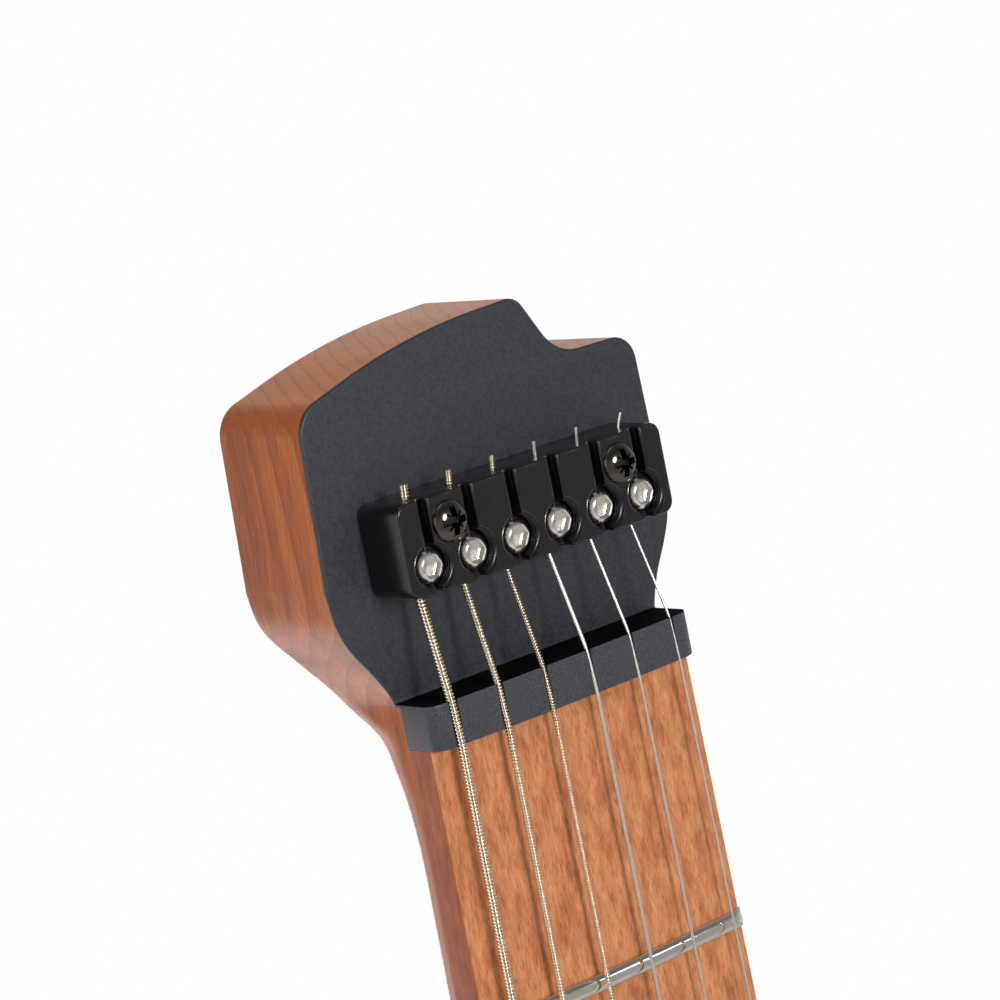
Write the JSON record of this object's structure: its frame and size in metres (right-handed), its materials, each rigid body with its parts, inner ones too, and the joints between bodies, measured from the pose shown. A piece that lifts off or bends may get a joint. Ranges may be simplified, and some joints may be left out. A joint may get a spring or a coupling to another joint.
{
  "type": "headless electric guitar",
  "caption": "Headless electric guitar: squared roasted-maple head with a dark face and a black string lock, fretted neck, contoured body, and a bridge with thumb-screw tuners.",
  "frame": {"origin": "where a wall hanger's yoke carries the neck: on the centre line, 14 mm below the nut's front face and 10 mm behind the fingerboard's face", "axes": "+Z along the strings towards the head, +X towards the treble side, -Y is the face that the player's fingers meet"},
  "size_m": [0.3194, 0.0568, 0.8071],
  "materials": {
    "roasted_maple": "satin roasted maple",
    "body_wood": "satin oiled",
    "charcoal_satin": "satin charcoal lacquer",
    "black_anodised": "black anodised",
    "black_steel": "black oxide steel",
    "nickel": "polished nickel plate",
    "graphite_composite": "moulded graphite composite",
    "black_plastic": "moulded black ABS",
    "string_steel": "nickel-wound and plain steel"
  },
  "bodies": {
    "guitar": {"neck": "roasted_maple", "fingerboard": "roasted_maple", "body": "body_wood", "head_face": "charcoal_satin", "body_top": "charcoal_satin", "nut": "graphite_composite", "truss_rod": "nickel", "volume_pot": "nickel", "tone_pot": "nickel", "selector_switch": "nickel", "output_jack": "nickel", "string_lock_bar": "black_anodised", "bridge_base": "black_anodised", "jack_plate": "black_anodised", "lock_mount_screw_1": "black_steel", "lock_mount_screw_2": "black_steel", "strap_button_upper": "black_steel", "strap_button_lower": "black_steel", "neck_bolt_1": "black_steel", "neck_bolt_2": "black_steel", "neck_bolt_3": "black_steel", "neck_bolt_4": "black_steel", "neck_pickup": "black_plastic", "bridge_pickup": "black_plastic", "control_cover": "black_plastic", "string_1": "string_steel", "string_2": "string_steel", "string_3": "string_steel", "string_4": "string_steel", "string_5": "string_steel", "string_6": "string_steel"},
    "truss_rod_wheel": {"truss_rod_wheel": "nickel"},
    "volume_knob": {"volume_knob": "black_anodised"},
    "tone_knob": {"tone_knob": "black_anodised"},
    "selector_lever": {"selector_lever": "black_plastic"},
    "clamp_screw_1": {"clamp_screw_1": "nickel"},
    "clamp_screw_2": {"clamp_screw_2": "nickel"},
    "clamp_screw_3": {"clamp_screw_3": "nickel"},
    "clamp_screw_4": {"clamp_screw_4": "nickel"},
    "clamp_screw_5": {"clamp_screw_5": "nickel"},
    "clamp_screw_6": {"clamp_screw_6": "nickel"},
    "saddle_1": {"saddle_1": "black_anodised"},
    "saddle_2": {"saddle_2": "black_anodised"},
    "saddle_3": {"saddle_3": "black_anodised"},
    "saddle_4": {"saddle_4": "black_anodised"},
    "saddle_5": {"saddle_5": "black_anodised"},
    "saddle_6": {"saddle_6": "black_anodised"},
    "string_carriage_1": {"string_carriage_1": "black_anodised"},
    "string_carriage_2": {"string_carriage_2": "black_anodised"},
    "string_carriage_3": {"string_carriage_3": "black_anodised"},
    "string_carriage_4": {"string_carriage_4": "black_anodised"},
    "string_carriage_5": {"string_carriage_5": "black_anodised"},
    "string_carriage_6": {"string_carriage_6": "black_anodised"},
    "tuner_knob_1": {"tuner_knob_1": "black_anodised"},
    "tuner_knob_2": {"tuner_knob_2": "black_anodised"},
    "tuner_knob_3": {"tuner_knob_3": "black_anodised"},
    "tuner_knob_4": {"tuner_knob_4": "black_anodised"},
    "tuner_knob_5": {"tuner_knob_5": "black_anodised"},
    "tuner_knob_6": {"tuner_knob_6": "black_anodised"}
  },
  "joints": [
    {"name": "tuner_turn_1", "type": "hinge", "parent": "guitar", "child": "tuner_knob_1", "pos_m": [-0.02625, -0.0087, -0.7064], "axis": [0, 0, 1], "range_deg": [-1550, 1550]},
    {"name": "tuner_turn_2", "type": "hinge", "parent": "guitar", "child": "tuner_knob_2", "pos_m": [-0.01575, -0.0087, -0.7064], "axis": [0, 0, 1], "range_deg": [-1550, 1550]},
    {"name": "tuner_turn_3", "type": "hinge", "parent": "guitar", "child": "tuner_knob_3", "pos_m": [-0.00525, -0.0087, -0.7064], "axis": [0, 0, 1], "range_deg": [-1550, 1550]},
    {"name": "tuner_turn_4", "type": "hinge", "parent": "guitar", "child": "tuner_knob_4", "pos_m": [0.00525, -0.0087, -0.7064], "axis": [0, 0, 1], "range_deg": [-1550, 1550]},
    {"name": "tuner_turn_5", "type": "hinge", "parent": "guitar", "child": "tuner_knob_5", "pos_m": [0.01575, -0.0087, -0.7064], "axis": [0, 0, 1], "range_deg": [-1550, 1550]},
    {"name": "tuner_turn_6", "type": "hinge", "parent": "guitar", "child": "tuner_knob_6", "pos_m": [0.02625, -0.0087, -0.7064], "axis": [0, 0, 1], "range_deg": [-1550, 1550]},
    {"name": "string_pull_1", "type": "slide", "parent": "guitar", "child": "string_carriage_1", "axis": [0, 0, 1], "range_m": [-0.003, 0.003], "deforming": ["string_1"]},
    {"name": "string_pull_2", "type": "slide", "parent": "guitar", "child": "string_carriage_2", "axis": [0, 0, 1], "range_m": [-0.003, 0.003], "deforming": ["string_2"]},
    {"name": "string_pull_3", "type": "slide", "parent": "guitar", "child": "string_carriage_3", "axis": [0, 0, 1], "range_m": [-0.003, 0.003], "deforming": ["string_3"]},
    {"name": "string_pull_4", "type": "slide", "parent": "guitar", "child": "string_carriage_4", "axis": [0, 0, 1], "range_m": [-0.003, 0.003], "deforming": ["string_4"]},
    {"name": "string_pull_5", "type": "slide", "parent": "guitar", "child": "string_carriage_5", "axis": [0, 0, 1], "range_m": [-0.003, 0.003], "deforming": ["string_5"]},
    {"name": "string_pull_6", "type": "slide", "parent": "guitar", "child": "string_carriage_6", "axis": [0, 0, 1], "range_m": [-0.003, 0.003], "deforming": ["string_6"]},
    {"name": "saddle_slide_1", "type": "slide", "parent": "guitar", "child": "saddle_1", "axis": [0, 0, 1], "range_m": [-0.003, 0.003]},
    {"name": "saddle_slide_2", "type": "slide", "parent": "guitar", "child": "saddle_2", "axis": [0, 0, 1], "range_m": [-0.003, 0.003]},
    {"name": "saddle_slide_3", "type": "slide", "parent": "guitar", "child": "saddle_3", "axis": [0, 0, 1], "range_m": [-0.003, 0.003]},
    {"name": "saddle_slide_4", "type": "slide", "parent": "guitar", "child": "saddle_4", "axis": [0, 0, 1], "range_m": [-0.003, 0.003]},
    {"name": "saddle_slide_5", "type": "slide", "parent": "guitar", "child": "saddle_5", "axis": [0, 0, 1], "range_m": [-0.003, 0.003]},
    {"name": "saddle_slide_6", "type": "slide", "parent": "guitar", "child": "saddle_6", "axis": [0, 0, 1], "range_m": [-0.003, 0.003]},
    {"name": "clamp_turn_1", "type": "hinge", "parent": "guitar", "child": "clamp_screw_1", "pos_m": [-0.01758, -0.011, 0.03665], "axis": [0, -1, 0], "range_deg": [0, 540]},
    {"name": "clamp_turn_2", "type": "hinge", "parent": "guitar", "child": "clamp_screw_2", "pos_m": [-0.01055, -0.011, 0.03665], "axis": [0, -1, 0], "range_deg": [0, 540]},
    {"name": "clamp_turn_3", "type": "hinge", "parent": "guitar", "child": "clamp_screw_3", "pos_m": [-0.00352, -0.011, 0.03665], "axis": [0, -1, 0], "range_deg": [0, 540]},
    {"name": "clamp_turn_4", "type": "hinge", "parent": "guitar", "child": "clamp_screw_4", "pos_m": [0.00352, -0.011, 0.03665], "axis": [0, -1, 0], "range_deg": [0, 540]},
    {"name": "clamp_turn_5", "type": "hinge", "parent": "guitar", "child": "clamp_screw_5", "pos_m": [0.01055, -0.011, 0.03665], "axis": [0, -1, 0], "range_deg": [0, 540]},
    {"name": "clamp_turn_6", "type": "hinge", "parent": "guitar", "child": "clamp_screw_6", "pos_m": [0.01758, -0.011, 0.03665], "axis": [0, -1, 0], "range_deg": [0, 540]},
    {"name": "truss_rod_turn", "type": "hinge", "parent": "guitar", "child": "truss_rod_wheel", "pos_m": [0, -0.00045, -0.4823], "axis": [0, 0, 1], "range_deg": [-360, 360]},
    {"name": "volume_turn", "type": "hinge", "parent": "guitar", "child": "volume_knob", "pos_m": [0.082, -0.009, -0.608], "axis": [0, -1, 0], "range_deg": [-270, 0]},
    {"name": "tone_turn", "type": "hinge", "parent": "guitar", "child": "tone_knob", "pos_m": [0.104, -0.009, -0.648], "axis": [0, -1, 0], "range_deg": [-150, 150]},
    {"name": "selector_tilt", "type": "hinge", "parent": "guitar", "child": "selector_lever", "pos_m": [0.104, 0.0146, -0.578], "axis": [1, 0, 0], "range_deg": [-14, 14]}
  ],
  "couplings": [
    {"joint": "tuner_turn_1", "follows": "string_pull_1", "rad_per_m": -8976},
    {"joint": "tuner_turn_2", "follows": "string_pull_2", "rad_per_m": -8976},
    {"joint": "tuner_turn_3", "follows": "string_pull_3", "rad_per_m": -8976},
    {"joint": "tuner_turn_4", "follows": "string_pull_4", "rad_per_m": -8976},
    {"joint": "tuner_turn_5", "follows": "string_pull_5", "rad_per_m": -8976},
    {"joint": "tuner_turn_6", "follows": "string_pull_6", "rad_per_m": -8976}
  ]
}
